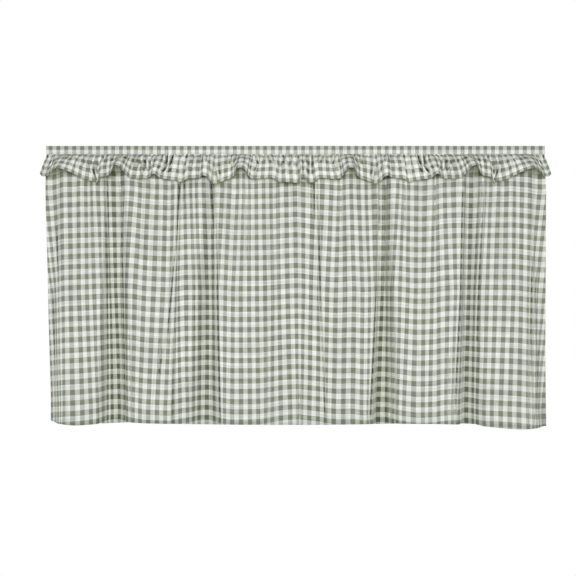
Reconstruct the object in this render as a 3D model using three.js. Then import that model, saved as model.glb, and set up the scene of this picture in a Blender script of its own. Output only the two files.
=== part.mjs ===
// Gingham cafe curtain: a flat heading band sewn over the tops of a gathered ruffle and a gathered panel.
// Millimetres, +Z up, front towards -Y. The origin is the middle of the heading's top edge.

import * as THREE from "three";

// Driving dimensions
const CURTAIN_WIDTH = 1370;
const CURTAIN_DROP = 764;
const CLOTH_THICKNESS = 1.2;
const SEAM_GAP = 0.3;
const HEADING_HEIGHT = 22.5;
const SEAM_ALLOWANCE = 18;
const SEAM_STUB = 2;

// The layers in the seam, front to back: band, ruffle, panel, band
const LAYER_PITCH = CLOTH_THICKNESS + SEAM_GAP;
const RUFFLE_LAYER_Y = -LAYER_PITCH / 2;
const PANEL_LAYER_Y = LAYER_PITCH / 2;
const HEADING_OUTER = 1.5 * LAYER_PITCH + CLOTH_THICKNESS / 2;
const HEADING_INNER = HEADING_OUTER - CLOTH_THICKNESS;
const SEAM_Z = -HEADING_HEIGHT;
const TUCK_Z = SEAM_Z + SEAM_ALLOWANCE;
const STUB_Z = SEAM_Z - SEAM_STUB;

// Panel: how its folds, its gathers and its hem run
const PANEL_COLUMNS = 160;
const PANEL_ROWS = 9;
const PANEL_ROW_CROWDING = 1.35;
const PANEL_FULL_Z = -75;
const PANEL_SAMPLES = 900;
const FOLD_FULL_SHARE = 0.8;
const SEAM_WALL_SHARE = 0.35;
const CREST_GROWTH = 2;
const HEM_DIP = 0.17;
const GATHER_PITCH = 46;
const GATHER_SWAY = 1.3;
const GATHER_BEAT = 187;
const GATHER_LIMIT = 24;
const LENGTH_STEPS = 24;

// Ruffle: the depth it is cut to, how it leaves the seam and how its pleats run
const RUFFLE_CUT = 78;
const RUFFLE_STEPS = 2;
const RUFFLE_SHARES = [0.1, 0.22, 0.48, 0.75, 1];
const RUFFLE_DROP_POWER = 1.12;
const RUFFLE_SEAM_EVENNESS = 0.5;
const RUFFLE_NEAREST = 0.4;
const BULGE_SHARE = 0.6;
const BOW_FACTOR = 3 / 8;
const PLEAT_PITCH = 27;
const PLEAT_SWAY = 1.55;
const PLEAT_BEAT = 143;
const PLEAT_DEPTH = 9;
const PLEAT_PEAK = 0.22;

// Makes one object a row from a list of column names and the rows' values.
function table(columns, rows) {
  return rows.map((row) => Object.fromEntries(columns.map((column, index) => [column, row[index]])));
}

// Folds of the panel: where each valley's walls stand at the seam and at the hem, how wide the walls are at
// the hem, and how far the valley lies behind the crests. The returns are valleys that run past the edges.
const PANEL_VALLEYS = table(
  ["left", "right", "leftHem", "rightHem", "leftWall", "rightWall", "depth", "depthHem"],
  [
    [-900, -646, -900, -660, 40, 38, 26, 22],
    [-521, -477, -534, -470, 22, 60, 18, 52],
    [-319, -262, -340, -262, 12, 110, 16, 12],
    [-236, -222, -284, -222, 50, 44, 20, 54],
    [-72, 135, -72, 135, 92, 110, 3, 36],
    [20, 58, 30, 81, 70, 12, 8, 10],
    [227, 255, 213, 268, 24, 44, 18, 50],
    [466, 499, 450, 494, 34, 44, 15, 48],
    [646, 900, 667, 900, 32, 40, 26, 24],
  ],
);

// The panel's side edges at depths below the heading's top edge.
const PANEL_EDGES = table(
  ["drop", "left", "right"],
  [
    [22.5, -684.7, 684.7],
    [75, -695.5, 690.5],
    [126, -697, 692],
    [300, -690, 692],
    [520, -682, 691],
    [765, -674, 690],
  ],
);

// How far the crests come forward at the hem.
const PANEL_CRESTS = table(
  ["x", "forward"],
  [
    [-685, 10],
    [-605, 26],
    [-540, 10],
    [-400, 5],
    [-150, 0],
    [140, 0],
    [355, 10],
    [430, 20],
    [590, 36],
    [685, 30],
  ],
);

// How far below the heading's top edge the hem hangs on the crests.
const PANEL_HEM = table(
  ["x", "drop"],
  [
    [-685, 752],
    [-645, 759],
    [-590, 762.5],
    [-455, 758],
    [-400, 760.5],
    [-260, 763.5],
    [-70, CURTAIN_DROP + 1],
    [95, CURTAIN_DROP + 1],
    [270, 761.5],
    [425, 760.5],
    [490, 762.5],
    [560, 768.5],
    [615, 771.5],
    [685, 767],
  ],
);

// Stations of the ruffle's hem on one side of the middle and, after them, in the middle: how far it hangs below
// the seam and how far it stands out there.
const RUFFLE_SIDE = table(
  ["x", "drop", "out"],
  [
    [66, 67, 9],
    [90, 68.5, 9],
    [112, 69.5, 10],
    [121, 68.5, 12],
    [127, 63.5, 26],
    [133, 53.5, 46],
    [140, 46.5, 55],
    [147.5, 45, 57],
    [155, 46.5, 55],
    [162, 53, 46],
    [168.5, 64, 24],
    [178, 69, 15],
    [202, 77, 9],
    [213.5, 83, 6],
    [227, 84.5, 6],
    [232, 74, 12],
    [239, 68, 18],
    [244, 64, 26],
    [250, 62.5, 29],
    [256, 64.5, 22],
    [266, 67.5, 12],
    [295, 69, 9],
    [303.5, 73.5, 8],
    [309, 78, 7],
    [317, 77, 10],
    [325.5, 75, 11],
    [349.5, 71, 10],
    [369, 67.5, 13],
    [376, 63, 24],
    [383.5, 58.5, 35],
    [391, 61.5, 28],
    [398, 66.5, 14],
    [408, 68.5, 10],
    [431.5, 68.5, 9],
    [452, 66, 12],
    [456.5, 63, 20],
    [460, 56, 36],
    [467, 46.5, 54],
    [474.5, 40, 61],
    [481.5, 38.5, 62],
    [488, 42, 58],
    [495, 52, 44],
    [505, 60, 26],
    [518, 63.5, 15],
    [530, 63.5, 12],
    [539.5, 72.5, 8],
    [545, 82.5, 6],
    [552, 78, 8],
    [574.5, 71, 16],
    [597.5, 59.5, 32],
    [617, 51, 48],
    [631, 46.5, 56],
    [638, 45.5, 57],
    [649, 49, 48],
    [664, 56, 34],
    [676, 61.5, 21],
    [688, 63, 12],
    [695.5, 57, 9],
  ],
);
const RUFFLE_MIDDLE = table(
  ["x", "drop", "out"],
  [
    [-57, 70, 11],
    [-52.5, 74.5, 13],
    [-44, 77, 14],
    [-24, 79, 14],
    [5, 80.5, 13],
    [11, 77.5, 10],
    [14.5, 67, 8],
    [28, 66.5, 8],
    [31, 73.5, 10],
    [36, 79, 13],
    [51.5, 78, 13],
    [57.5, 71.5, 11],
  ],
);

// A smooth curve through two columns of a table, which never swings past its rows.
function curveThrough(rows, atKey, valueKey) {
  const at = rows.map((row) => row[atKey]);
  const value = rows.map((row) => row[valueKey]);
  const last = rows.length - 1;
  const rise = (index) => (value[index + 1] - value[index]) / (at[index + 1] - at[index]);
  const slope = rows.map((row, index) => {
    if (index === 0 || index === last) return 0;
    const before = rise(index - 1);
    const after = rise(index);
    return before * after > 0 ? (2 * before * after) / (before + after) : 0;
  });
  return (where) => {
    const x = THREE.MathUtils.clamp(where, at[0], at[last]);
    const next = at.findIndex((limit, index) => index > 0 && x <= limit);
    const start = next - 1;
    const span = at[next] - at[start];
    const s = (x - at[start]) / span;
    const toStart = (1 + 2 * s) * (1 - s) ** 2 * value[start] + s * (1 - s) ** 2 * span * slope[start];
    const toNext = s * s * (3 - 2 * s) * value[next] + s * s * (s - 1) * span * slope[next];
    return toStart + toNext;
  };
}

// An uneven row of small gathers, from 0 at a crest to 1 behind it.
function gatherWave(x, pitch, sway, beat) {
  const turn = 2 * Math.PI;
  return 0.5 - 0.5 * Math.cos((turn * x) / pitch + sway * Math.sin((turn * x) / beat));
}

// A closed sheet of even thickness on a grid of points, rows from top to bottom, columns from left to right.
function sheetGeometry(grid, thickness) {
  const rows = grid.length;
  const columns = grid[0].length;
  const clampRow = (row) => THREE.MathUtils.clamp(row, 0, rows - 1);
  const clampColumn = (column) => THREE.MathUtils.clamp(column, 0, columns - 1);
  const front = [];
  const back = [];
  for (let row = 0; row < rows; row += 1) {
    for (let column = 0; column < columns; column += 1) {
      const across = grid[row][clampColumn(column + 1)].clone().sub(grid[row][clampColumn(column - 1)]);
      const down = grid[clampRow(row + 1)][column].clone().sub(grid[clampRow(row - 1)][column]);
      const normal = down.cross(across).normalize();
      front.push(grid[row][column].clone().addScaledVector(normal, thickness / 2));
      back.push(grid[row][column].clone().addScaledVector(normal, -thickness / 2));
    }
  }
  const frontAt = (row, column) => row * columns + column;
  const backAt = (row, column) => rows * columns + row * columns + column;
  const indices = [];
  const addQuad = (a, b, c, d) => indices.push(a, b, c, a, c, d);
  for (let row = 0; row < rows - 1; row += 1) {
    for (let column = 0; column < columns - 1; column += 1) {
      addQuad(
        frontAt(row, column),
        frontAt(row + 1, column),
        frontAt(row + 1, column + 1),
        frontAt(row, column + 1),
      );
      addQuad(
        backAt(row, column),
        backAt(row, column + 1),
        backAt(row + 1, column + 1),
        backAt(row + 1, column),
      );
    }
  }
  for (let column = 0; column < columns - 1; column += 1) {
    const end = rows - 1;
    addQuad(frontAt(0, column), frontAt(0, column + 1), backAt(0, column + 1), backAt(0, column));
    addQuad(frontAt(end, column + 1), frontAt(end, column), backAt(end, column), backAt(end, column + 1));
  }
  for (let row = 0; row < rows - 1; row += 1) {
    const end = columns - 1;
    addQuad(frontAt(row + 1, 0), frontAt(row, 0), backAt(row, 0), backAt(row + 1, 0));
    addQuad(frontAt(row, end), frontAt(row + 1, end), backAt(row + 1, end), backAt(row, end));
  }
  const geometry = new THREE.BufferGeometry();
  geometry.setFromPoints([...front, ...back]);
  geometry.setIndex(indices);
  geometry.computeVertexNormals();
  return geometry;
}

// Heading band: one strip folded over, open at the bottom for the gathered edges.
function headingGeometry() {
  const fold = -HEADING_OUTER;
  const section = new THREE.Shape();
  section.moveTo(-HEADING_OUTER, SEAM_Z);
  section.lineTo(-HEADING_INNER, SEAM_Z);
  section.lineTo(-HEADING_INNER, fold);
  section.absarc(0, fold, HEADING_INNER, Math.PI, 0, true);
  section.lineTo(HEADING_INNER, SEAM_Z);
  section.lineTo(HEADING_OUTER, SEAM_Z);
  section.lineTo(HEADING_OUTER, fold);
  section.absarc(0, fold, HEADING_OUTER, 0, Math.PI, false);
  section.closePath();
  const strip = { depth: CURTAIN_WIDTH, bevelEnabled: false, curveSegments: 8 };
  return new THREE.ExtrudeGeometry(section, strip);
}

const crestForward = curveThrough(PANEL_CRESTS, "x", "forward");
const hemDrop = curveThrough(PANEL_HEM, "x", "drop");
const leftEdge = curveThrough(PANEL_EDGES, "drop", "left");
const rightEdge = curveThrough(PANEL_EDGES, "drop", "right");

// How far the broad folds put the panel behind its crests, at a place across and a share of the way down.
function foldDepth(x, down) {
  const growth = THREE.MathUtils.smoothstep(down, 0, FOLD_FULL_SHARE);
  const widening = THREE.MathUtils.lerp(SEAM_WALL_SHARE, 1, down);
  let depth = -crestForward(x) * down ** CREST_GROWTH;
  for (const valley of PANEL_VALLEYS) {
    const left = THREE.MathUtils.lerp(valley.left, valley.leftHem, down);
    const right = THREE.MathUtils.lerp(valley.right, valley.rightHem, down);
    const enter = THREE.MathUtils.smoothstep((x - left) / (valley.leftWall * widening), -0.5, 0.5);
    const leave = THREE.MathUtils.smoothstep((right - x) / (valley.rightWall * widening), -0.5, 0.5);
    depth += THREE.MathUtils.lerp(valley.depth, valley.depthHem, growth) * enter * leave;
  }
  return depth;
}

// One row of the panel as a run of places across, each with its depth and its distance along the cloth.
function panelProfile(down, gather) {
  const drop = THREE.MathUtils.lerp(HEADING_HEIGHT, CURTAIN_DROP, down);
  const profile = [];
  let along = 0;
  for (let index = 0; index <= PANEL_SAMPLES; index += 1) {
    const x = THREE.MathUtils.lerp(leftEdge(drop), rightEdge(drop), index / PANEL_SAMPLES);
    const wave = gatherWave(x, GATHER_PITCH, GATHER_SWAY, GATHER_BEAT);
    const depth = foldDepth(x, down) + gather * wave;
    if (index > 0) along += Math.hypot(x - profile[index - 1].x, depth - profile[index - 1].depth);
    profile.push({ x, depth, along });
  }
  return profile;
}

const profileLength = (profile) => profile[PANEL_SAMPLES].along;
const PANEL_FLAT_WIDTH = profileLength(panelProfile(1, 0));

// The gathers take up the cloth that the broad folds leave over, so every row holds the same width of cloth.
function gatheredProfile(down) {
  let low = 0;
  let high = GATHER_LIMIT;
  for (let step = 0; step < LENGTH_STEPS; step += 1) {
    const middle = (low + high) / 2;
    if (profileLength(panelProfile(down, middle)) < PANEL_FLAT_WIDTH) low = middle;
    else high = middle;
  }
  return panelProfile(down, low);
}

// Places at even distances along the cloth of one row.
function evenPlaces(profile) {
  const places = [];
  let index = 1;
  for (let column = 0; column <= PANEL_COLUMNS; column += 1) {
    const along = (profileLength(profile) * column) / PANEL_COLUMNS;
    while (index < PANEL_SAMPLES && profile[index].along < along) index += 1;
    const before = profile[index - 1];
    const after = profile[index];
    const share = (along - before.along) / (after.along - before.along);
    places.push({
      x: THREE.MathUtils.lerp(before.x, after.x, share),
      depth: THREE.MathUtils.lerp(before.depth, after.depth, share),
    });
  }
  return places;
}

// Panel: flat in the seam, gathered below it, and in broad folds that deepen to the hem.
function panelGeometry() {
  const fullDown = (SEAM_Z - PANEL_FULL_Z) / (SEAM_Z + CURTAIN_DROP);
  const topPlaces = evenPlaces(gatheredProfile(fullDown));
  const seamHalf = CURTAIN_WIDTH / 2;
  const seamRows = [TUCK_Z, SEAM_Z, STUB_Z, (STUB_Z + PANEL_FULL_Z) / 2];
  const grid = seamRows.map((z) => {
    const open = THREE.MathUtils.smoothstep(-z, -STUB_Z, -PANEL_FULL_Z);
    return topPlaces.map(({ x, depth }) => {
      const edge = x < 0 ? -leftEdge(-PANEL_FULL_Z) : rightEdge(-PANEL_FULL_Z);
      const place = THREE.MathUtils.lerp((seamHalf * x) / edge, x, open);
      return new THREE.Vector3(place, PANEL_LAYER_Y + depth * open, z);
    });
  });
  for (let row = 0; row <= PANEL_ROWS; row += 1) {
    const reach = (row / PANEL_ROWS) ** PANEL_ROW_CROWDING;
    const places = evenPlaces(gatheredProfile(THREE.MathUtils.lerp(fullDown, 1, reach)));
    grid.push(
      places.map(({ x, depth }) => {
        const hemZ = -hemDrop(x) - HEM_DIP * Math.max(depth, 0);
        return new THREE.Vector3(x, PANEL_LAYER_Y + depth, THREE.MathUtils.lerp(PANEL_FULL_Z, hemZ, reach));
      }),
    );
  }
  return sheetGeometry(grid, CLOTH_THICKNESS);
}

// The ruffle's hem from left to right, with each place's distance along it.
function ruffleHem() {
  const leftSide = RUFFLE_SIDE.map((station) => ({ ...station, x: -station.x })).reverse();
  const wholeHem = [...leftSide, ...RUFFLE_MIDDLE, ...RUFFLE_SIDE];
  const stations = wholeHem.map((station, index) => ({ ...station, index }));
  const curves = {};
  for (const key of ["x", "drop", "out"]) {
    curves[key] = curveThrough(stations, "index", key);
  }
  const hem = [];
  let along = 0;
  for (let column = 0; column <= (stations.length - 1) * RUFFLE_STEPS; column += 1) {
    const where = column / RUFFLE_STEPS;
    const place = { x: curves.x(where), drop: curves.drop(where), out: curves.out(where) };
    const before = hem[column - 1];
    if (before) along += Math.hypot(place.x - before.x, place.drop - before.drop, place.out - before.out);
    hem.push({ ...place, along });
  }
  return hem;
}

// Ruffle: gathered in the seam, pleated below it, and in flutes that stand out at its hem.
function ruffleGeometry() {
  const hem = ruffleHem();
  const last = hem[hem.length - 1];
  const columns = hem.map(({ x, drop, out, along }) => {
    const even = (2 * along) / last.along - 1;
    const seam = (CURTAIN_WIDTH / 2) * THREE.MathUtils.lerp(x / last.x, even, RUFFLE_SEAM_EVENNESS);
    const chord = Math.hypot(drop, out);
    const bulge = BULGE_SHARE * Math.sqrt(BOW_FACTOR * chord * Math.max(RUFFLE_CUT - chord, 0));
    const sway = PLEAT_SWAY * Math.sin((2 * Math.PI * seam) / PLEAT_BEAT);
    const pleat = PLEAT_DEPTH * Math.abs(Math.sin((Math.PI * seam) / PLEAT_PITCH + sway));
    return { x, drop, out, seam, bulge, pleat };
  });
  const grid = [TUCK_Z, SEAM_Z, STUB_Z].map((z) =>
    columns.map(({ seam }) => new THREE.Vector3(seam, RUFFLE_LAYER_Y, z)),
  );
  for (const down of RUFFLE_SHARES) {
    const pleated = (down / PLEAT_PEAK) * Math.exp(1 - down / PLEAT_PEAK);
    grid.push(
      columns.map(({ x, drop, out, seam, bulge, pleat }) => {
        const forward = out * down + 4 * bulge * down * (1 - down) + pleat * pleated;
        const fall = SEAM_STUB + (drop - SEAM_STUB) * down ** RUFFLE_DROP_POWER;
        const y = RUFFLE_LAYER_Y - Math.max(forward, RUFFLE_NEAREST);
        return new THREE.Vector3(THREE.MathUtils.lerp(seam, x, down), y, SEAM_Z - fall);
      }),
    );
  }
  return sheetGeometry(grid, CLOTH_THICKNESS);
}

// The curtain
const CLOTH_FINISH = { roughness: 0.9, metalness: 0, side: THREE.FrontSide };
const PANEL_COLOUR = "#bcc0b4";
const RUFFLE_COLOUR = "#b9bdb0";
const HEADING_COLOUR = "#b4b8ab";

function clothPiece(name, geometry, colour) {
  const material = new THREE.MeshStandardMaterial({ color: new THREE.Color(colour), ...CLOTH_FINISH });
  const piece = new THREE.Mesh(geometry, material);
  piece.name = name;
  return piece;
}

const curtain = new THREE.Group();
curtain.name = "cafe_curtain";

const heading = clothPiece("heading", headingGeometry(), HEADING_COLOUR);
const acrossAxis = new THREE.Vector3(1, 0, 0);
const depthAxis = new THREE.Vector3(0, 1, 0);
const upAxis = new THREE.Vector3(0, 0, 1);
heading.setRotationFromMatrix(new THREE.Matrix4().makeBasis(depthAxis, upAxis, acrossAxis));
heading.position.x = -CURTAIN_WIDTH / 2;
curtain.add(heading);

curtain.add(clothPiece("ruffle", ruffleGeometry(), RUFFLE_COLOUR));
curtain.add(clothPiece("panel", panelGeometry(), PANEL_COLOUR));

export default curtain;
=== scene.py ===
"""Gingham cafe curtain: a flat heading band over a gathered ruffle and a gathered panel."""

import math

import bpy
import numpy as np
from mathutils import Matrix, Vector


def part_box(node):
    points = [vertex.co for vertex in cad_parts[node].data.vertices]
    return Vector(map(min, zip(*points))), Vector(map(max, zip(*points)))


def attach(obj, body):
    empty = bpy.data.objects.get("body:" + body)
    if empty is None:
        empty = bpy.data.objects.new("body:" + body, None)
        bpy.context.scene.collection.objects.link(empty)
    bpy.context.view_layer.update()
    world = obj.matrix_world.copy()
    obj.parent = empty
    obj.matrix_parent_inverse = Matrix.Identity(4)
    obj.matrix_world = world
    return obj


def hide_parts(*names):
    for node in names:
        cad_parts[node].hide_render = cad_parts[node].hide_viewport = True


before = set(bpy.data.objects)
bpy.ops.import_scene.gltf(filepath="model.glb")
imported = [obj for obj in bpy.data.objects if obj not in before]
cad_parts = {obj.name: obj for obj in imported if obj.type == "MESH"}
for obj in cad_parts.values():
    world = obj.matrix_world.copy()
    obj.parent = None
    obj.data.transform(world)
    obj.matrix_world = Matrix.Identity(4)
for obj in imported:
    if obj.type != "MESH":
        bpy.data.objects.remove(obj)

bl_info = {
    "name": "Gingham cafe curtain",
    "version": (1, 0, 0),
    "blender": (4, 5, 0),
    "location": "3D View > Sidebar > Curtain",
    "description": "Makes a gingham cafe curtain with a heading, a ruffle and a folded panel",
    "category": "Add Mesh",
}

MM = 0.001
TURN = 2 * math.pi

# Usual drop of the panel's hem below the heading's top, the drop where its rows start to sag, and
# how far the hem drops for each metre that a fold lies back
PANEL_DROP = 0.764
SAG_START = 0.15
HEM_SINK = 0.17

# How gathers, pleats and puckers vary along the seam: the sway of their phase and where it repeats
GATHER_SWAY = (1.3, 0.187)
PLEAT_SWAY = (3.1, 0.143)
PUCKER_SWAY = (2.3, 0.061)

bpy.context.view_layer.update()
HEADING_LOW, HEADING_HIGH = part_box("heading")


def table(columns, rows):
    """A table of lengths with named columns, written in millimetres and kept in metres."""
    kinds = [(name, float) for name in columns.split()]
    return np.array([tuple(value * MM for value in row) for row in rows], dtype=kinds)


# Folds of the panel: the walls of each valley at the seam and at the hem, the walls' widths at the
# hem, and how far the valley lies behind the crests at the seam and at the hem
PANEL_VALLEYS = table(
    "left right left_hem right_hem left_wall right_wall depth depth_hem",
    [
        (-900, -646, -900, -660, 40, 38, 6, 22), (-521, -477, -534, -470, 22, 60, 18, 52),
        (-319, -262, -340, -262, 12, 110, 16, 12), (-236, -222, -284, -222, 50, 44, 20, 54),
        (-72, 135, -72, 135, 92, 110, 3, 36), (20, 58, 30, 81, 70, 12, 8, 10),
        (231, 255, 218, 268, 24, 44, 18, 50), (471, 499, 455, 494, 34, 44, 15, 48),
        (646, 900, 667, 900, 32, 40, 6, 24),
    ],
)

# How much painted shade darkens and deepens the colour in each of those valleys
VALLEY_PAINTED_SHADES = (0.0, 0.52, 0.1, 0.42, 0.05, 0.1, 0.58, 0.42, 0.0)

# The panel's side edges at depths below the heading's top
PANEL_EDGES = table(
    "drop left right",
    [
        (22.5, -684.7, 684.7), (75, -688.5, 688.5), (126, -689, 690.5), (300, -686, 690.5),
        (520, -681, 688.5), (765, -674, 686),
    ],
)

# How far the panel's crests come forward at the hem
PANEL_CRESTS = table(
    "x forward",
    [
        (-685, 10), (-605, 26), (-540, 10), (-400, 5), (-150, 0), (140, 0), (355, 10), (430, 20),
        (590, 36), (685, 30),
    ],
)

# How far below the heading's top edge the hem hangs on the crests
PANEL_HEM = table(
    "x drop",
    [
        (-685, 752), (-645, 759), (-590, 762.5), (-455, 758), (-400, 760.5), (-260, 763.5),
        (-70, 765), (95, 765), (270, 761.5), (425, 760.5), (490, 762.5), (560, 768.5), (615, 771.5),
        (685, 767),
    ],
)

# How far the check's rows sag below level where the gathers let the cloth down, near the ruffle and
# at the hem
PANEL_GRAIN = table(
    "x sag sag_hem",
    [
        (-685, 6, 13), (-630, -2, 4.5), (-590, -4, 2), (-485, -6.5, -6.5), (-450, -4.5, -5),
        (-410, 2, 1), (-345, 5.5, 4), (-300, -0.5, -2), (-215, -1, -3), (-165, 3, 1.5),
        (-100, 2.5, 0.5), (5, -5, -7), (50, 0, -1.5), (115, 6.5, 4.5), (160, 3.5, 1),
        (185, 5.5, 3.5), (240, 2, 1.5), (270, 2, 2), (335, 8, 9), (380, 5.5, 7), (400, 1, 3),
        (445, -2.5, 0), (520, -3, 1), (600, -4, 5), (645, 1, 10.5), (685, 3.5, 13.5),
    ],
)

# Stations of the ruffle's hem on one side of the middle and, after them, in the middle: how far it
# hangs below the seam and how far it stands out there
RUFFLE_SIDE = table(
    "x drop out",
    [
        (66, 67, 9), (90, 68.5, 9), (112, 69.5, 10), (121, 68.5, 12), (127, 63.5, 26),
        (133, 53.5, 46), (140, 46.5, 55), (147.5, 45, 57), (155, 46.5, 55), (162, 53, 46),
        (168.5, 64, 24), (178, 69, 15), (202, 77, 9), (213.5, 81, 6), (227, 81.5, 6), (232, 74, 12),
        (239, 68, 18), (244, 64, 26), (250, 62.5, 29), (256, 64.5, 22), (266, 67.5, 12),
        (295, 69, 9), (303.5, 73.5, 8), (309, 78, 7), (317, 77, 10), (325.5, 75, 11),
        (349.5, 71, 10), (369, 67.5, 13), (376, 63, 24), (383.5, 58.5, 35), (391, 61.5, 28),
        (398, 66.5, 14), (408, 68.5, 10), (431.5, 68.5, 9), (452, 66, 12), (456.5, 63, 20),
        (460, 56, 36), (467, 46.5, 54), (474.5, 40, 61), (481.5, 38.5, 62), (488, 42, 58),
        (495, 52, 44), (505, 60, 26), (518, 63.5, 15), (530, 63.5, 12), (539.5, 72.5, 8),
        (545, 79, 6), (552, 76.5, 8), (574.5, 71, 16), (597.5, 59.5, 32), (617, 51, 48),
        (631, 46.5, 56), (638, 45.5, 57), (649, 49, 48), (664, 56, 34), (676, 63.5, 21),
        (690, 62.5, 12), (698, 55, 9),
    ],
)
RUFFLE_MIDDLE = table(
    "x drop out",
    [
        (-57, 70, 11), (-52.5, 74.5, 13), (-44, 77, 14), (-24, 79, 14), (5, 80.5, 13),
        (11, 77.5, 10), (14.5, 67, 8), (28, 66.5, 8), (31, 73.5, 10), (36, 79, 13), (51.5, 78, 13),
        (57.5, 71.5, 11),
    ],
)

# Creases of the ruffle, the same on both sides: their places across at the top and at the bottom,
# the depths below the seam that they run between, their half widths and how far they stand out
RUFFLE_CREASES = table(
    "top bottom start end width rise",
    [
        (55, 54, -4, 14, 3.2, -9), (68, 60, 4, 34, 3.6, 7), (76, 70, 0, 30, 3.2, -11),
        (78, 78, 14, 32, 3.6, 6), (92, 92, -4, 10, 3.2, -9), (109, 101, 2, 36, 3.2, -11),
        (108, 119, 34, 62, 3.2, -8), (114, 123, 34, 60, 3.6, 6), (126, 125, -4, 18, 3.2, -9),
        (163, 174, 8, 54, 3.2, -11), (170, 178, 8, 42, 3.6, 9), (178, 180, 14, 34, 3.2, -8),
        (196, 194, -4, 12, 3.2, -9), (213.5, 208, 30, 68, 3.6, 9), (219, 213, 38, 76, 3.2, -11),
        (232, 230, 34, 60, 3.2, -8), (243, 242, -4, 32, 3.2, -10), (248, 247, 0, 36, 3.6, 7),
        (270, 270, -4, 10, 3.2, -9), (297, 299, -4, 14, 3.2, -10), (318, 319, -4, 10, 3.2, -8),
        (335, 347, -6, 46, 3.2, -12), (344, 345, -4, 38, 4.2, 12), (352, 348, 0, 32, 3.2, -12),
        (357, 356, 2, 30, 3.6, 8), (345, 364, 36, 68, 4.2, 10), (350, 368, 32, 64, 3.2, -12),
        (358, 372, 36, 60, 3.6, 7), (384, 384, -4, 10, 3.2, -9), (390, 383, 20, 64, 3.6, 7),
        (398, 399, -4, 12, 3.2, -10), (401, 398, 14, 60, 3.6, 8), (410, 408, 14, 54, 3.6, -10),
        (418, 409, 48, 70, 3.6, 7), (430, 438, -4, 36, 3.6, 6), (441, 442, -4, 12, 3.2, -10),
        (461, 460, -4, 12, 3.2, -10), (466, 466, 2, 60, 3.6, 7), (469, 468, 8, 28, 3.2, -9),
        (501, 508, 12, 40, 3.6, 8), (512, 516, 4, 22, 3.2, -9), (526, 522, 6, 24, 3.2, -8),
        (546, 537, 38, 74, 3.6, 9), (551, 542, 33, 74, 3.2, -12), (556, 551, 28, 56, 3.6, 7),
        (578, 577, 10, 26, 3.2, -9), (590, 602, -4, 26, 3.6, 5), (597, 595, 10, 24, 3.2, -9),
        (620, 626, -4, 30, 3.6, 6), (649, 662, 0, 28, 3.6, 10), (655, 666, 6, 30, 3.2, -9),
        (660, 684, 22, 58, 3.6, 10), (679, 680, 2, 28, 3.2, -10),
    ],
)

# Creases in the ruffle's middle, in the same columns, from left to right
MIDDLE_CREASES = table(
    "top bottom start end width rise",
    [
        (-57, -57, 30, 46, 3.6, -9), (-36, -31, -2, 14, 3.2, -9), (-31, -35, 8, 30, 3.2, -9),
        (9, 9, 0, 32, 3.2, -9), (11.5, 11.5, 38, 76, 3.2, -9), (15.5, 15.5, 18, 76, 3.6, 8),
        (41, 41, 0, 60, 3.6, 8), (45, 45, 2, 68, 3.2, -6),
    ],
)

# Slanting crumples of the ruffle, the same on both sides: the distance between them, how far they
# move across on the way down, how far apart they come and go, and how far they stand out
RUFFLE_CRUMPLES = table(
    "pitch lean beat rise",
    [
        (19, 40, 97, 3.5), (27, -52, 131, 4.5), (13.5, 11, 71, 2.5),
    ],
)

# Creases of the panel, in the same columns, with depths below the heading's top
PANEL_CREASES = table(
    "top bottom start end width rise",
    [
        (-660, -644, 217, 656, 3, -8), (-671, -660, 381, 763, 3, -8), (-525, -527, 189, 763, 3, -7),
        (-520, -522, 93, 422, 2.5, -7), (-486, -485, 93, 272, 2.5, -7),
        (-470, -484, 93, 272, 2.5, -7), (-482, -471, 285, 763, 3, -9),
        (-457, -454, 491, 763, 3, -8), (-320, -330, 82, 300, 2.5, -11),
        (-329, -352, 270, 520, 2.5, -11), (-350, -378, 490, 640, 4, -7),
        (-337, -338, 491, 763, 2.5, -6), (-308, -311, 82, 162, 2.5, -7),
        (-276, -279, 107, 763, 4, -4), (-236, -226, 77, 236, 3.5, -9),
        (-220, -207, 189, 763, 3, -9), (-136, -134, 93, 326, 3.5, -5), (-56, -56, 107, 477, 4, -4),
        (-74, -75, 505, 763, 4, -4), (12, 11, 642, 763, 3, -6), (51, 53, 82, 208, 2.5, -9),
        (60, 83, 110, 763, 2.5, -8), (126, 126, 93, 217, 3, -6), (231, 235, 82, 263, 2.5, -8),
        (251, 250, 82, 422, 3, -9), (234, 223, 150, 400, 2.5, -9), (224, 204, 380, 763, 3, -11),
        (261, 263, 258, 763, 3, -8), (271, 274, 491, 763, 3, -7), (302, 301, 93, 244, 3, -6),
        (384, 383, 82, 236, 3, -8), (421, 418, 560, 763, 3, -6), (459, 452, 110, 430, 2.5, -8),
        (453, 431, 400, 763, 3, -9.5), (515, 498, 82, 560, 3, -7.5), (501, 496, 93, 422, 2.5, -4),
        (652, 633, 217, 763, 3, -8), (666, 646, 313, 614, 2.5, -7), (669, 646, 546, 763, 2.5, -7),
        (683, 655, 491, 763, 2.5, -7),
    ],
)

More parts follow.
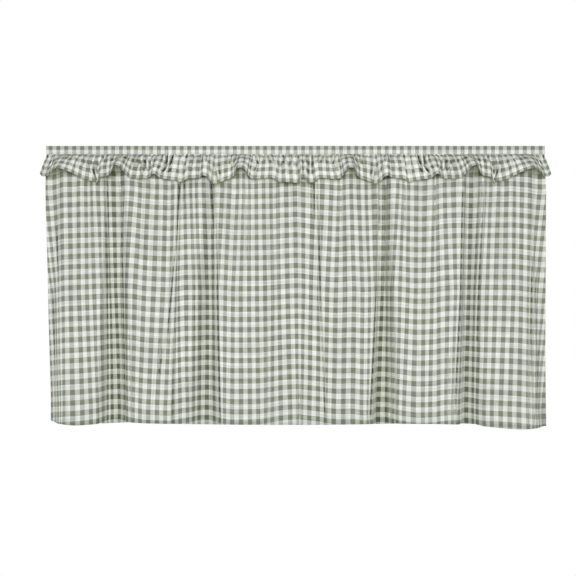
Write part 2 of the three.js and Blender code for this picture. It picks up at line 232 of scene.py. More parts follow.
# Where the panel's upright stripes hang: how far along the cloth a dyed stripe lies, and its places
# across near the ruffle, half way down and near the hem; between narrow places the cloth is taken
# up by folds and creases
PANEL_STRIPES = table(
    "cloth top middle hem",
    [
        (0, -736, -693, -674), (50, -691, -664, -647), (100, -643, -638, -631),
        (125, -623, -617, -606), (150, -597, -594, -581), (200, -561, -553, -542),
        (225, -545, -533, -533), (250, -525, -525, -525), (275, -521, -518, -514),
        (300, -506, -503, -493), (325, -480, -485, -476), (350, -450, -468, -466),
        (375, -429, -442, -446), (400, -406, -417, -427), (475, -338, -343, -358),
        (500, -323, -329, -338), (525, -320, -325, -319), (550, -308, -303, -299),
        (575, -290, -281, -285), (600, -274, -266, -272), (650, -232, -230, -227),
        (675, -202, -216, -209), (700, -183, -194, -196), (725, -160, -173, -175),
        (775, -128, -129, -126), (825, -89, -85, -83), (850, -69, -64, -66), (875, -50, -47, -42),
        (925, -3, 1, 6), (950, 20, 21, 17), (1000, 73, 64, 62), (1050, 119, 111, 105),
        (1075, 133, 136, 131), (1150, 193, 203, 198), (1175, 213, 218, 207), (1200, 246, 243, 230),
        (1225, 256, 256, 255), (1250, 280, 265, 269), (1275, 296, 285, 279), (1300, 310, 307, 295),
        (1350, 354, 350, 347), (1375, 380, 373, 366), (1400, 389, 391, 389), (1450, 433, 438, 426),
        (1475, 462, 453, 439), (1500, 486, 483, 473), (1525, 507, 495, 488), (1550, 520, 504, 496),
        (1600, 556, 546, 529), (1625, 579, 571, 553), (1675, 622, 616, 602), (1700, 642, 636, 627),
        (1725, 674, 646, 642), (1775, 712, 686, 652), (1825, 762, 724, 677),
    ],
)
STRIPE_LEVELS = (0.121, 0.395, 0.724)


def length(name, description, default, smallest=0.0):
    """A length property in metres."""
    return bpy.props.FloatProperty(
        name=name, description=description, default=default, min=smallest, unit="LENGTH", precision=4
    )


def colour(name, description, default):
    """A colour property in linear light."""
    return bpy.props.FloatVectorProperty(
        name=name, description=description, default=default, min=0.0, max=1.0, size=3, subtype="COLOR"
    )


def amount(name, description, default, smallest=0.0, largest=100.0):
    """A plain number property."""
    return bpy.props.FloatProperty(
        name=name, description=description, default=default, min=smallest, max=largest
    )


class GinghamCloth(bpy.types.PropertyGroup):
    """Yarns and checks of the three cloths."""

    white_yarn: colour("White yarn", "Undyed yarn of both directions", (0.851, 0.875, 0.825))
    lengthways_green: colour("Lengthways green", "Dyed yarn of the upright stripes", (0.222, 0.227, 0.198))
    crossways_green: colour("Crossways green", "Dyed yarn of the level stripes", (0.271, 0.285, 0.211))
    dye_drift: amount("Dye drift", "How far the dyed yarn drifts from grey to fresh green", 0.2, 0.0, 1.0)
    crease_shadow: amount("Crease shadow", "How much darker the cloth is in a tight crease", 0.75, 0.0, 1.0)
    # Painted light: how much lighter the ruffle's colour is painted than the panel's
    ruffle_painted_light: amount("Ruffle lift", "How much lighter the ruffle is than the panel", 1.07, 1.0, 1.2)
    hem_shadow: amount("Hem shadow", "How dark the panel is behind the ruffle's hem", 0.33, 0.0, 1.0)
    fold_tint: colour("Fold tint", "Tint of the light between the walls of a fold", (0.93, 0.95, 0.72))
    # Painted shade: how much the dyed yarns are deepened in folds, creases and gathers
    fold_painted_shade: amount("Fold tone", "How much deeper the dye looks in a fold", 0.85, 0.0, 3.0)
    thread: colour("Thread", "Sewing thread", (0.55, 0.58, 0.5))
    thread_radius: length("Thread radius", "Half the thickness of the sewing thread", 0.00025)
    stitch: length("Stitch", "Distance from stitch to stitch", 0.003)
    yarn_pitch: length("Yarn pitch", "Distance from yarn to yarn", 0.0007)
    thickness: length("Thickness", "Thickness of one layer of cloth", 0.0008)
    panel_check_across: length("Panel check across", "Repeat of the panel's check across", 0.025)
    panel_check_down: length("Panel check down", "Repeat of the panel's check down", 0.02822)
    trim_check_across: length("Trim check across", "Repeat of the check across on the trim", 0.0208)
    trim_check_down: length("Trim check down", "Repeat of the check down on the trim", 0.0216)
    heading_row: length("Heading row", "Depth below the top of a dyed row's middle on the heading", 0.0068)
    check_shift: length("Check shift", "Where the panel's check starts across", 0.0014, -1.0)
    ruffle_row: length("Ruffle row", "Depth below the seam of a dyed row's middle on the ruffle", 0.0094)
    first_row: length("First row", "Depth below the heading's top of a dyed row's middle", 0.107)


class CurtainCut(bpy.types.PropertyGroup):
    """Sizes that the pieces are cut and hung to."""

    width: length("Width", "Width of the heading", HEADING_HIGH[0] - HEADING_LOW[0] - 0.004)
    heading_height: length("Heading height", "Height of the heading", HEADING_HIGH[2] - HEADING_LOW[2])
    heading_depth: length("Heading depth", "Depth of the folded heading", HEADING_HIGH[1] - HEADING_LOW[1])
    seam_allowance: length("Seam allowance", "How far the gathered edges reach into the heading", 0.018)
    layer_pitch: length("Layer pitch", "Distance from layer to layer in the seam", 0.0015)
    panel_full: length("Panel full", "Depth below the top where the panel's gathers are full", 0.075)
    ruffle_cut: length("Ruffle cut", "Depth that the ruffle is cut to below the seam", 0.078)
    gather_pitch: length("Gather pitch", "Usual distance between the panel's gathers", 0.046)
    pleat_pitch: length("Pleat pitch", "Usual distance between the ruffle's pleats", 0.027)
    pleat_depth: length("Pleat depth", "Depth of the ruffle's pleats", 0.006)


class StudioLook(bpy.types.PropertyGroup):
    """Light, floor and camera."""

    camera_distance: length("Camera distance", "From the camera to the heading", 2.194)
    camera_across: length("Camera across", "Camera's place across", -0.0206, -5.0)
    camera_height: length("Camera height", "Camera's height from the heading's top", -0.3895, -5.0)
    lens: amount("Lens", "Focal length in millimetres", 50.0, 1.0, 300.0)
    floor_drop: length("Floor drop", "From the heading's top down to the floor", 1.75)
    floor_colour: colour("Floor colour", "Colour of the floor", (0.94, 0.94, 0.93))
    key_power: amount("Key power", "Power of the light behind the camera in watts", 38.8, 0.0, 5000.0)
    back_power: amount("Back power", "Power of the light behind the curtain in watts", 42.0, 0.0, 5000.0)
    side_power: amount("Side power", "Power of each side light in watts", 11.0, 0.0, 5000.0)
    room_light: amount("Room light", "Brightness of the room", 0.2)


def through(at, value, where):
    """Smooth curve through points: a cubic on each span whose end slopes are the harmonic mean of
    its neighbours' slopes, or zero at a turn and at both ends, so it never swings past the
    points."""
    where = np.clip(where, at[0], at[-1])
    span = np.diff(at)
    rise = np.diff(value) / span
    product = rise[:-1] * rise[1:]
    total = rise[:-1] + rise[1:]
    slope = np.zeros_like(value)
    slope[1:-1] = np.where(product > 0, 2 * product / np.where(product > 0, total, 1), 0)
    start = np.clip(np.searchsorted(at, where) - 1, 0, len(at) - 2)
    s = (where - at[start]) / span[start]
    to_start = (1 + 2 * s) * (1 - s) ** 2 * value[start] + s * (1 - s) ** 2 * span[start] * slope[start]
    to_next = s * s * (3 - 2 * s) * value[start + 1] + s * s * (s - 1) * span[start] * slope[start + 1]
    return to_start + to_next


def ease(value, low, high):
    """Rises smoothly from 0 at low to 1 at high: 3 s squared less 2 s cubed."""
    s = np.clip((value - low) / (high - low), 0, 1)
    return s * s * (3 - 2 * s)


def gather_wave(x, pitch, sway, beat):
    """Uneven row of gathers: half of one less the cosine of a phase that itself sways along x."""
    return 0.5 - 0.5 * np.cos(TURN * x / pitch + sway * np.sin(TURN * x / beat))


def pinched_wave(x, pitch, sway, beat):
    """Uneven row of gathers with round crests and sharp valleys, the size of the sine of half that
    phase, and how far its cloth is drawn aside to bunch in the valleys, the sine of the whole
    phase."""
    phase = math.pi * x / pitch + 0.5 * sway * np.sin(TURN * x / beat)
    return np.abs(np.sin(phase)), -pitch / TURN * np.sin(2 * phase)


def fold_depth(x, down):
    """Depth of the panel's broad folds, and the painted shade that darkens and deepens their colour there.
    Each valley adds its depth times a smooth rise at its left wall and a smooth fall at its right wall, and
    the crests take off how far they come forward. Places and walls move evenly from the seam to the hem,
    and a valley reaches its full depth four fifths of the way down. Its painted shade follows the square
    root of the rise times the fall."""
    growth = ease(down, 0, 0.8)
    tone = np.zeros_like(x)
    depth = -through(PANEL_CRESTS["x"], PANEL_CRESTS["forward"], x) * down**2
    # Each valley paints shade by its listed share, half of it at the top and all of it from four fifths of
    # the way down
    for valley, colours in zip(PANEL_VALLEYS, VALLEY_PAINTED_SHADES):
        left = valley["left"] + (valley["left_hem"] - valley["left"]) * down
        right = valley["right"] + (valley["right_hem"] - valley["right"]) * down
        left_wall = valley["left_wall"] * (0.35 + 0.65 * down)
        right_wall = valley["right_wall"] * (0.35 + 0.65 * down)
        enter = ease((x - left) / left_wall, -0.5, 0.5)
        leave = ease((right - x) / right_wall, -0.5, 0.5)
        depth = depth + (valley["depth"] + (valley["depth_hem"] - valley["depth"]) * growth) * enter * leave
        tone = np.maximum(tone, colours * (0.5 + 0.5 * growth) * np.sqrt(enter * leave))
    return depth, tone


def crease_relief(creases, x, drop, bend):
    """Sum of ridges and troughs with low lips, and the painted shade there. Each is a bell across its line
    times one less three fifths of the squared distance. The line moves from top to bottom by a power of the
    way down, and fades in and out over 30 mm or a quarter of its length. The painted shade is a narrower
    bell in a trough or on either side of a ridge, up to 1, less a painted highlight on the ridge or on
    either side of the trough."""
    relief = np.zeros(np.broadcast(x, drop).shape)
    dark = np.zeros_like(relief)
    pale = np.zeros_like(relief)
    for crease in creases:
        span = crease["end"] - crease["start"]
        way = np.clip((drop - crease["start"]) / span, 0, 1)
        line = crease["top"] + (crease["bottom"] - crease["top"]) * way**bend
        soft = min(0.25, 0.03 / span)
        fade = ease(way, 0, soft) * ease(1 - way, 0, soft)
        off = (x - line) / crease["width"]
        relief = relief + crease["rise"] * (1 - 0.6 * off**2) * np.exp(-0.7 * off**2) * fade
        strength = np.abs(crease["rise"]) / 0.01 * fade
        middle = strength * np.exp(-2.5 * off**2)
        sides = strength * np.exp(-2.5 * (np.abs(off) - 1.7) ** 2)
        trough = crease["rise"] < 0
        # Painted shade in a trough or beside a ridge, and a painted highlight on a ridge or beside a trough
        dark = np.maximum(dark, middle if trough else sides)
        pale = np.maximum(pale, 0.7 * sides if trough else middle)
    return relief, np.clip(dark, 0, 1) - np.clip(pale, 0, 0.8)


def join_painted_shade(painted_shade, tone):
    """The painted shade of creases, raised to the valleys' painted shade where it is less than that, and
    still with painted highlights on their ridges."""
    return np.maximum(np.maximum(painted_shade, 0), tone) + np.minimum(painted_shade, 0)


def crumple_relief(x, down):
    """Sum of slanting crumples, and the painted shade between them. Each is a pinched row of gathers that
    leans across on the way down, comes and goes along the ruffle by the square of a slow sine, and dies
    away at the seam and towards the hem."""
    relief = np.zeros(np.broadcast(x, down).shape)
    painted_shade = np.zeros_like(relief)
    fade = ease(down, 0.0, 0.12) * (1 - 0.75 * ease(down, 0.5, 1.0))
    for crumple in RUFFLE_CRUMPLES:
        wave, _ = pinched_wave(x + crumple["lean"] * down, crumple["pitch"], 2.0, crumple["beat"])
        presence = fade * np.sin(math.pi * x / crumple["beat"] + 40 * crumple["pitch"]) ** 2
        relief = relief + crumple["rise"] * wave * presence
        painted_shade = np.maximum(painted_shade, 0.35 * (1 - wave) ** 3 * presence)
    return relief, painted_shade


def run_along(x, depth):
    """Distance along each row: the running sum of the steps' lengths."""
    steps = np.hypot(np.diff(x, axis=1), np.diff(depth, axis=1))
    return np.concatenate([np.zeros((len(x), 1)), np.cumsum(steps, axis=1)], axis=1)


def cloth_across(place, drop):
    """Distance along the panel's cloth at each point: on every row the smooth curve through the
    stripes' places, which move evenly from level to level."""
    top, middle, hem = STRIPE_LEVELS
    level = drop.mean(axis=1, keepdims=True)
    upper = np.clip((level - top) / (middle - top), 0, 1)
    lower = np.clip((level - middle) / (hem - middle), 0, 1)
    stripes = PANEL_STRIPES["top"] + (PANEL_STRIPES["middle"] - PANEL_STRIPES["top"]) * upper
    stripes = stripes + (PANEL_STRIPES["hem"] - PANEL_STRIPES["middle"]) * lower
    return np.stack([through(at, PANEL_STRIPES["cloth"], x) for at, x in zip(stripes, place)])


def panel_surface(cut, columns, rows, samples=2400):
    """The panel's grid of points, its cloth coordinates, its painted shade, the painted shadow of the
    ruffle's hem and its flat width. A row is a level curve whose depth is the broad folds plus gathers; the
    gathers' height is halved in on until every row holds the same width of cloth, and the columns stand at
    even distances along that cloth. Above the full rows the gathers flatten into the seam. Creases lie on
    top, and carry painted shade as the valleys do. The painted shadow of the hem is 1 behind the ruffle and
    fades below its hem over about an eighth of how far the hem stands out."""
    drop = cut.heading_height
    full = (cut.panel_full - drop) / (PANEL_DROP - drop)
    reach = np.linspace(0, 1, rows)[:, None] ** 1.45
    down = full + (1 - full) * reach
    level = drop + (PANEL_DROP - drop) * down
    left, right = (through(PANEL_EDGES["drop"], PANEL_EDGES[side], level) for side in ("left", "right"))
    x = left + (right - left) * np.linspace(0, 1, samples)[None, :]
    broad, tone = fold_depth(x, down)
    wave = gather_wave(x, cut.gather_pitch, *GATHER_SWAY)
    flat_width = run_along(x[-1:], broad[-1:])[0, -1]
    low = np.zeros((rows, 1))
    high = np.full((rows, 1), 0.024)
    for _ in range(24):
        middle = (low + high) / 2
        short = run_along(x, broad + middle * wave)[:, -1:] < flat_width
        low = np.where(short, middle, low)
        high = np.where(short, high, middle)
    depth = broad + low * wave
    along = run_along(x, depth)
    row = np.arange(rows)[:, None]
    share = np.linspace(0, 1 - 1e-9, columns)[None, :]
    known = (row + along / along[:, -1:] * (1 - 1e-9)).ravel()
    wanted = (row + share).ravel()
    place = np.interp(wanted, known, x.ravel()).reshape(rows, columns)
    back = np.interp(wanted, known, depth.ravel()).reshape(rows, columns)
    tone = np.interp(wanted, known, tone.ravel()).reshape(rows, columns)
    hem = -through(PANEL_HEM["x"], PANEL_HEM["drop"], place) - HEM_SINK * np.maximum(back, 0)
    height = -cut.panel_full + (hem + cut.panel_full) * reach
    seam_z = np.array([cut.seam_allowance - drop, -drop, -drop - 0.002])
    seam_z = np.concatenate([seam_z, np.linspace(-drop - 0.002, -cut.panel_full, 9)[1:-1]])[:, None]
    opening = ease(-seam_z, drop + 0.002, cut.panel_full)
    half = cut.width / 2
    gathered = half * place[:1] / np.where(place[:1] < 0, -left[0], right[0])
    place = np.concatenate([gathered + (place[:1] - gathered) * opening, place])
    back = np.concatenate([opening * back[:1], back])
    tone = np.concatenate([opening * tone[:1], tone])
    height = np.concatenate([np.repeat(seam_z, columns, axis=1), height])
    relief, painted_shade = crease_relief(PANEL_CREASES, place, -height, 1)
    points = np.stack([place, cut.layer_pitch / 2 + back - relief, height], axis=-1)
    sag, sag_hem = (through(PANEL_GRAIN["x"], PANEL_GRAIN[name], place) for name in ("sag", "sag_hem"))
    towards_hem = np.clip((-height - SAG_START) / (PANEL_DROP - SAG_START), 0, 1)
    cloth_down = -height - sag - (sag_hem - sag) * towards_hem
    # Painted shadow of the ruffle's hem: full behind the ruffle, fading below its hem
    hem_place, hem_drop, hem_out = ruffle_hem(2000)
    below = -height - drop - np.interp(place, hem_place, hem_drop)
    hem_shadow_mask = 1 - ease(below, -0.001, 0.001 + 0.12 * np.interp(place, hem_place, hem_out))
    cloth = np.stack([cloth_across(place, -height), cloth_down], axis=-1)
    return points, cloth, join_painted_shade(painted_shade, tone), hem_shadow_mask, flat_width


def ruffle_hem(samples):
    """The hem's curve from left to right: a smooth curve through the stations of both sides and the
    middle."""
    left = RUFFLE_SIDE[::-1].copy()
    left["x"] *= -1
    stations = np.concatenate([left, RUFFLE_MIDDLE, RUFFLE_SIDE])
    at = np.arange(len(stations), dtype=float)
    where = np.linspace(0, at[-1], samples)
    return [through(at, stations[name], where) for name in ("x", "drop", "out")]


def ruffle_surface(cut, columns, rows, samples=6000):
    """The ruffle's grid of points, its cloth coordinates, its painted shade and its flat width. Columns
    stand at even distances along the hem; at the seam they share its width half evenly, half by their place
    at the hem. A column runs from the seam to the hem and bulges by what its cut is longer than that way.
    Pleats that come and die away down the column, small puckers at the seam, slanting crumples and creases
    lie on top. Puckers, crumples and creases carry painted shade, with painted highlights along the
    creases, and painted light lifts the gathers between them near the seam."""
    curve = np.stack(ruffle_hem(samples))
    run = np.concatenate([[0], np.cumsum(np.linalg.norm(np.diff(curve, axis=1), axis=0))])
    even = np.linspace(0, run[-1], columns)
    hem, drop, out = (np.interp(even, run, line) for line in curve)
    half = cut.width / 2 - 0.0035
    seam = half * (0.5 * (2 * even / run[-1] - 1) + 0.5 * hem / hem[-1])
    down = np.linspace(0, 1, rows)[1:, None] ** 1.5
    stub = 0.0003
    ends = 1 - ease(np.abs(hem) / hem[-1], 0.93, 0.99)
    chord = np.hypot(drop, out)
    bulge = (0.15 + 0.45 * ends) * np.sqrt(0.375 * chord * np.maximum(cut.ruffle_cut - chord, 0))
    pleat, pleat_bunch = pinched_wave(seam, cut.pleat_pitch, *PLEAT_SWAY)
    pucker, pucker_bunch = pinched_wave(seam, 0.5 * cut.pleat_pitch, *PUCKER_SWAY)
    pleated = (down / 0.3 * np.exp(1 - down / 0.3)) ** 1.6 * ends
    puckered = (down / 0.07) * np.exp(1 - down / 0.07)
    forward = (
        out * down
        + bulge * 4 * down * (1 - down)
        + cut.pleat_depth * (pleat * pleated + 0.12 * pucker * puckered)
    )
    fall = stub + (drop - stub) * down**1.05
    place = seam + (hem - seam) * down + 0.6 * pleat_bunch * pleated + 0.5 * pucker_bunch * puckered
    crumpled, crumple_shade = crumple_relief(np.abs(place), down)
    creased, crease_shade = crease_relief(RUFFLE_CREASES, np.abs(place), down * cut.ruffle_cut, 2)
    in_middle, middle_crease_shade = crease_relief(MIDDLE_CREASES, place, down * cut.ruffle_cut, 2)
    forward = np.maximum(forward + (crumpled + creased + in_middle) * ends, 0.0004)
    # Painted shade between the crumples and between the puckers near the seam
    painted_shade = np.maximum(crumple_shade, 0.45 * (1 - pucker) ** 3 * puckered) * ends
    crease_shade = crease_shade + middle_crease_shade
    # Painted light lifts the gathers near the seam outside the creases; the 0.02 is a little painted shade
    # over the whole ruffle
    painted_seam_light = 0.6 * np.exp(-down / 0.1) * (1 - np.clip(crease_shade, 0, 1))
    painted_shade = join_painted_shade(crease_shade, painted_shade) + 0.02 - painted_seam_light
    painted_shade = np.concatenate([np.zeros((3, columns)), painted_shade])
    seam_z = np.array([cut.seam_allowance, 0.0, -stub]) - cut.heading_height
    level = np.repeat(seam_z[:, None], columns, axis=1)
    place = np.concatenate([np.repeat(seam[None], 3, axis=0), place])
    forward = np.concatenate([np.zeros_like(level), forward])
    height = np.concatenate([level, -cut.heading_height - fall])
    points = np.stack([place, -cut.layer_pitch / 2 - forward, height], axis=-1)
    along = np.repeat(even[None] - run[-1] / 2, len(points), axis=0)
    share = np.concatenate([(seam_z + cut.heading_height)[:, None] / -cut.ruffle_cut, down])
    cloth_down = np.repeat(share * cut.ruffle_cut, columns, axis=1)
    cloth_down[3:] += 0.4 * cut.pleat_depth * pleat * pleated + 0.3 * crumpled
    along[3:] += 0.25 * crumpled
    return points, np.stack([along, cloth_down], axis=-1), painted_shade, run[-1]


def heading_surface(cut, columns, rows, thickness):
    """The heading's grid of points, its cloth coordinates and its painted shade: a path up the front, half
    a circle over the fold and down the back, carried along the width. The puckers behind it draw in its
    lower front edge, with painted shade between them there, and its check is drawn in towards both ends."""
    radius = (cut.heading_depth - thickness) / 2
    straight = cut.heading_height - radius - thickness / 2
    path = np.linspace(0, 2 * straight + math.pi * radius, rows)
    angle = np.clip((path - straight) / radius, 0, math.pi)
    rest = np.maximum(path - straight - math.pi * radius, 0)
    depth = -radius * np.cos(angle)
    height = -cut.heading_height + np.minimum(path, straight) + radius * np.sin(angle) - rest
    x = np.linspace(-cut.width / 2, cut.width / 2, columns)
    points = np.stack(
        [
            np.repeat(x[None], rows, axis=0),
            np.repeat(depth[:, None], columns, axis=1),
            np.repeat(height[:, None], columns, axis=1),
        ],
        axis=-1,
    )
    pucker, _ = pinched_wave(x, 0.5 * cut.pleat_pitch, *PUCKER_SWAY)
    near_edge = np.exp(-path / 0.003)[:, None]
    points[..., 1] -= 0.0006 * pucker * near_edge
    points[..., 2] -= 0.0006 * pucker * near_edge
    # Painted shade between the puckers along the lower front edge
    painted_shade = 0.15 * (1 - pucker) ** 3 * near_edge
    top = straight + math.pi * radius / 2
    drawn = x - 0.0055 * np.sign(x) * ease(np.abs(x), 0.77 * cut.width / 2, cut.width / 2)
    across = np.repeat(drawn[None], rows, axis=0)
    down = np.repeat(np.abs(top - path)[:, None], columns, axis=1)
    return points[::-1], np.stack([across, down], axis=-1)[::-1], painted_shade[::-1]


def outward(points):
    """Unit normals of a grid: the way down crossed with the way across."""
    down, across = np.gradient(points, axis=0), np.gradient(points, axis=1)
    normal = np.cross(down, across)
    return normal / np.linalg.norm(normal, axis=-1, keepdims=True)


def stitch_mesh(name, lines, stitch, radius, lift):
    """A mesh of running stitches along lines of points with normals. Each stitch is a spindle of
    five rings, three quarters as long as the distance from stitch to stitch, that lies on the
    cloth."""
    along = np.array([-1.0, -0.65, 0.0, 0.65, 1.0])
    girth = np.array([0.2, 0.85, 1.0, 0.85, 0.2])
    turn = np.linspace(0, TURN, 6, endpoint=False)
    spindles = []
    for points, normals in lines:
        run = np.concatenate([[0], np.cumsum(np.linalg.norm(np.diff(points, axis=0), axis=1))])
        at = np.arange(stitch, run[-1] - stitch, stitch)
        middle, ahead, normal = (
            np.stack([np.interp(where, run, line) for line in lane.T], axis=-1)
            for where, lane in ((at, points), (at + 0.3 * stitch, points), (at, normals))
        )
        forward = ahead - middle
        forward /= np.linalg.norm(forward, axis=-1, keepdims=True)
        side = np.cross(forward, normal)
        middle = middle + lift * normal
        spokes = np.cos(turn)[:, None] * normal[:, None] + np.sin(turn)[:, None] * side[:, None]
        rings = middle[:, None] + 0.375 * stitch * along[:, None] * forward[:, None]
        spindles.append(rings[:, :, None] + radius * girth[:, None, None] * spokes[:, None])
    vertices = np.concatenate(spindles)
    count, rings, sides = vertices.shape[:3]
    index = np.arange(count * rings * sides).reshape(count, rings, sides)
    beside = np.roll(index, -1, axis=2)
    corners = np.stack([index[:, :-1], index[:, 1:], beside[:, 1:], beside[:, :-1]], axis=-1).reshape(-1, 4)
    return quad_object(name, vertices.reshape(-1, 3), corners)


def quad_object(name, vertices, corners):
    """An object of smooth quads from points and the corners' numbers."""
    mesh = bpy.data.meshes.new(name)
    mesh.vertices.add(len(vertices))
    mesh.vertices.foreach_set("co", vertices.reshape(-1).astype(np.float32))
    mesh.loops.add(corners.size)
    mesh.loops.foreach_set("vertex_index", corners.reshape(-1).astype(np.int32))
    mesh.polygons.add(len(corners))
    mesh.polygons.foreach_set("loop_start", np.arange(0, corners.size, 4, dtype=np.int32))
    mesh.polygons.foreach_set("use_smooth", np.ones(len(corners), dtype=bool))
    mesh.update(calc_edges=True)
    piece = bpy.data.objects.new(name, mesh)
    bpy.context.scene.collection.objects.link(piece)
    return piece


def grid_mesh(name, points, cloth, painted_shade=0.0, hem_shadow_mask=0.0):
    """A sheet of quads on a grid of points, rows from top to bottom, with cloth coordinates in metres as
    its UV map, and its painted shade and the painted shadow of the ruffle's hem as attributes."""
    rows, columns = points.shape[:2]
    index = np.arange(rows * columns).reshape(rows, columns)
    upper, lower = index[:-1], index[1:]
    corners = [upper[:, :-1], lower[:, :-1], lower[:, 1:], upper[:, 1:]]
    corners = np.stack(corners, axis=-1).reshape(-1, 4)
    piece = quad_object(name, points.reshape(-1, 3), corners)
    uv = piece.data.uv_layers.new(name="cloth")
    uv.data.foreach_set("uv", cloth.reshape(-1, 2)[corners.reshape(-1)].reshape(-1).astype(np.float32))
    for label, values in (("painted_shade", painted_shade), ("hem_shadow_mask", hem_shadow_mask)):
        held = piece.data.attributes.new(label, "FLOAT", "POINT")
        values = np.broadcast_to(values, (rows, columns)).astype(np.float32)
        held.data.foreach_set("value", values.reshape(-1))
    return piece


def thicken(piece, thickness):
    """Gives a sheet its thickness, half to each side."""
    solid = piece.modifiers.new("thickness", "SOLIDIFY")
    solid.thickness = thickness
    solid.offset = 0.0
    solid.use_rim = True


class Nodes:
    """Adds and links the nodes of one material."""

    def __init__(self, name):
        self.material = bpy.data.materials.new(name)
        self.material.use_nodes = True
        self.tree = self.material.node_tree
        self.tree.nodes.clear()

    def add(self, kind, inputs=(), **settings):
        node = self.tree.nodes.new(kind)
        for key, value in settings.items():
            setattr(node, key, value)
        for key, value in dict(inputs).items():
            if isinstance(value, bpy.types.NodeSocket):
                self.tree.links.new(value, node.inputs[key])
            else:
                node.inputs[key].default_value = value
        return node

    def math(self, operation, *values):
        return self.add("ShaderNodeMath", dict(enumerate(values)), operation=operation).outputs[0]

    def blend(self, share, first, second):
        node = self.add("ShaderNodeMix", {0: share, 6: first, 7: second}, data_type="RGBA")
        return node.outputs[2]


def gingham_material(name, settings, across, down, shift_across, shift_down, front=True, lift=1.0):
    """Gingham woven from two sets of yarn. Each set is striped by a zigzag of its cloth coordinate cut at
    half its height; the two colours mix evenly, with a fine over-and-under of the yarns and slubs along
    them. On the front, painted shade raises the dye to a power that grows with it; painted shade in tight
    creases, by its fifth power, and the painted shadow of the ruffle's hem darken the cloth, and both tint
    it. The back has none of this. Lift is painted light that brightens the whole cloth."""
    n = Nodes(name)
    cloth = n.add("ShaderNodeUVMap", uv_map="cloth").outputs[0]
    split = n.add("ShaderNodeSeparateXYZ", {0: cloth})
    u, v = split.outputs[0], split.outputs[1]

    def stripe(coordinate, pitch, shift):
        turns = n.math("MULTIPLY_ADD", coordinate, 1 / pitch, -shift / pitch + 0.5)
        zigzag = n.math("PINGPONG", turns, 0.5)
        return n.add(
            "ShaderNodeMapRange", {0: zigzag, 1: 0.235, 2: 0.265}, interpolation_type="SMOOTHSTEP"
        ).outputs[0]

    def paint(value):
        return (*value, 1.0)

    def streaks(along_u, along_v):
        stretched = n.add("ShaderNodeMapping", {0: cloth, 3: (along_u, along_v, 1.0)}).outputs[0]
        return n.add("ShaderNodeTexNoise", {0: stretched, "Scale": 1.0, "Detail": 2.0}).outputs[0]

    def dyed(green, along_u, along_v):
        drift = settings.dye_drift
        grey = [value * (1 + drift * share) for value, share in zip(green, (0.15, 0.0, 0.3))]
        fresh = [value * (1 + drift * share) for value, share in zip(green, (-0.6, 0.05, -0.8))]
        swing = n.add("ShaderNodeMapRange", {0: streaks(along_u, along_v), 1: 0.35, 2: 0.65}).outputs[0]
        return n.add("ShaderNodeGamma", {0: n.blend(swing, paint(grey), paint(fresh)), 1: depth}).outputs[0]

    def attribute(label):
        return n.add("ShaderNodeAttribute", attribute_name=label).outputs["Fac"] if front else 0.0

    # Painted shade and the painted shadow of the ruffle's hem, read from the mesh; the back has neither
    painted_shade, hem_shadow_mask = attribute("painted_shade"), attribute("hem_shadow_mask")
    # Painted shade raises the dyed yarns to this power, so they look deeper in shade
    depth = n.math("MULTIPLY_ADD", painted_shade, settings.fold_painted_shade, 1.0)
    white = paint(settings.white_yarn)
    lengthways = n.blend(stripe(u, across, shift_across), white, dyed(settings.lengthways_green, 55.0, 9.0))
    crossways = n.blend(stripe(v, down, shift_down), white, dyed(settings.crossways_green, 14.0, 45.0))

    yarn = TURN / settings.yarn_pitch
    weave = n.math(
        "MULTIPLY",
        n.math("SINE", n.math("MULTIPLY", u, yarn)),
        n.math("SINE", n.math("MULTIPLY", v, yarn)),
    )
    over = n.math("MULTIPLY_ADD", weave, 0.2, 0.5)
    woven = n.blend(over, lengthways, crossways)

    slubs = n.math("ADD", streaks(1400.0, 30.0), streaks(30.0, 1400.0))
    bars = n.math("ADD", streaks(220.0, 6.0), streaks(6.0, 220.0))
    # Yarn streaks and slubs vary the colour; lift is painted light over the whole cloth
    shade = n.math("MULTIPLY_ADD", bars, 0.5 * lift, 0.38 * lift)
    shade = n.math("MULTIPLY_ADD", slubs, 0.12 * lift, shade)
    # Painted shade in tight creases and the painted shadow of the ruffle's hem darken the cloth
    tight = n.math("POWER", painted_shade, 5.0)
    shade = n.math("MULTIPLY", shade, n.math("MULTIPLY_ADD", tight, -settings.crease_shadow, 1.0))
    shade = n.math("MULTIPLY", shade, n.math("MULTIPLY_ADD", hem_shadow_mask, -settings.hem_shadow, 1.0))
    # Painted shade and the hem's painted shadow tint the cloth with the fold tint
    deep = n.math("MULTIPLY", painted_shade, n.math("MAXIMUM", painted_shade, 0.0))
    deep = n.math("MAXIMUM", deep, n.math("MULTIPLY", hem_shadow_mask, 0.8))
    tint = n.blend(deep, (1.0, 1.0, 1.0, 1.0), paint(settings.fold_tint))
    shaded_colour = woven
    for layer in (tint, shade):
        shaded_colour = n.add(
            "ShaderNodeMix", {0: 1.0, 6: shaded_colour, 7: layer}, data_type="RGBA", blend_type="MULTIPLY"
        ).outputs[2]

    height = n.math("MULTIPLY_ADD", slubs, 0.6, n.math("MULTIPLY", weave, 0.5))
    bump = n.add("ShaderNodeBump", {"Strength": 0.35, "Distance": 0.0003, "Height": height}).outputs[0]
    rough = n.math("MULTIPLY_ADD", slubs, 0.12, 0.77)
    surface = n.add(
        "ShaderNodeBsdfPrincipled",
        {
            "Base Color": shaded_colour,
            "Roughness": rough,
            "Specular IOR Level": 0.2,
            "Sheen Weight": 0.08,
            "Sheen Roughness": 0.6,
            "Normal": bump,
        },
    )
    n.add("ShaderNodeOutputMaterial", {0: surface.outputs[0]})
    return n.material


